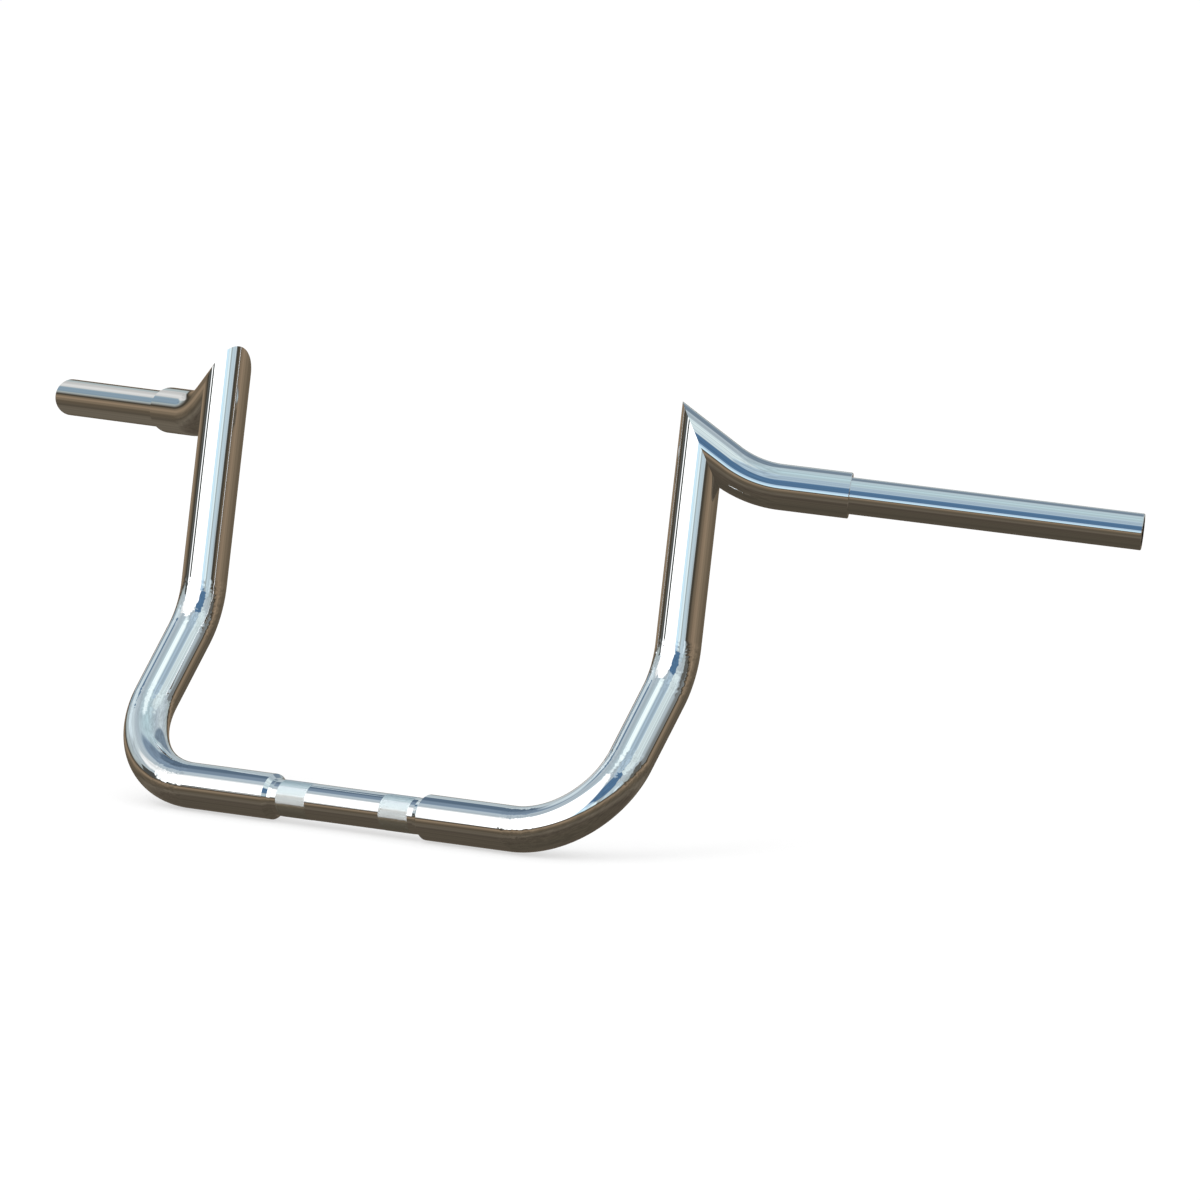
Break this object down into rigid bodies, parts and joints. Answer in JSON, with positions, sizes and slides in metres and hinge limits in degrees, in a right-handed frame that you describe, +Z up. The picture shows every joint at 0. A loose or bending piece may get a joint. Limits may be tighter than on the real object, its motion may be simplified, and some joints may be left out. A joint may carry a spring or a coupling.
{
  "type": "ape hanger handlebar",
  "caption": "Tall motorcycle handlebar of bent chromed tube: knurled clamp tube, leaning uprights, pointed mitred tops and swept-back grip tubes.",
  "frame": {"origin": "middle of the clamp tube, on its axis", "axes": "+X along the clamp tube to the rider's right, +Y back towards the rider, +Z up with the bar in its riding position"},
  "size_m": [0.9432, 0.3101, 0.3016],
  "materials": {
    "chrome": "polished chrome plate; the two clamping bands are knurled and read as satin"
  },
  "bodies": {
    "root": {"clamp_tube": "chrome", "left_main_tube": "chrome", "right_main_tube": "chrome", "left_arm_tube": "chrome", "right_arm_tube": "chrome", "left_grip_tube": "chrome", "right_grip_tube": "chrome"}
  },
  "joints": []
}
